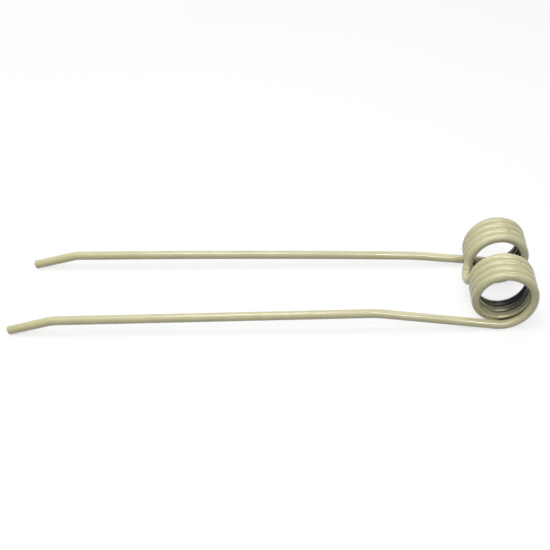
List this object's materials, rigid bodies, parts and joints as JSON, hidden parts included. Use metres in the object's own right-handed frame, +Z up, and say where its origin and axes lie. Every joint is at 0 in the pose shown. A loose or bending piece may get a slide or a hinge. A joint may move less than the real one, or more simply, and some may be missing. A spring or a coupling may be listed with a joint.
{
  "type": "spring tine",
  "caption": "Double spring tine of round wire: two close-wound coils joined by a U-shaped bridge, each ending in a long tine with a turned-down tip.",
  "frame": {"origin": "on the coil axis, midway between the two coils", "axes": "+Y along the coil axis, +Z up, tines running towards -X"},
  "size_m": [0.528, 0.1109, 0.0674],
  "materials": {
    "painted_wire": "gloss"
  },
  "bodies": {
    "root": {"spring_tine": "painted_wire"}
  },
  "joints": []
}
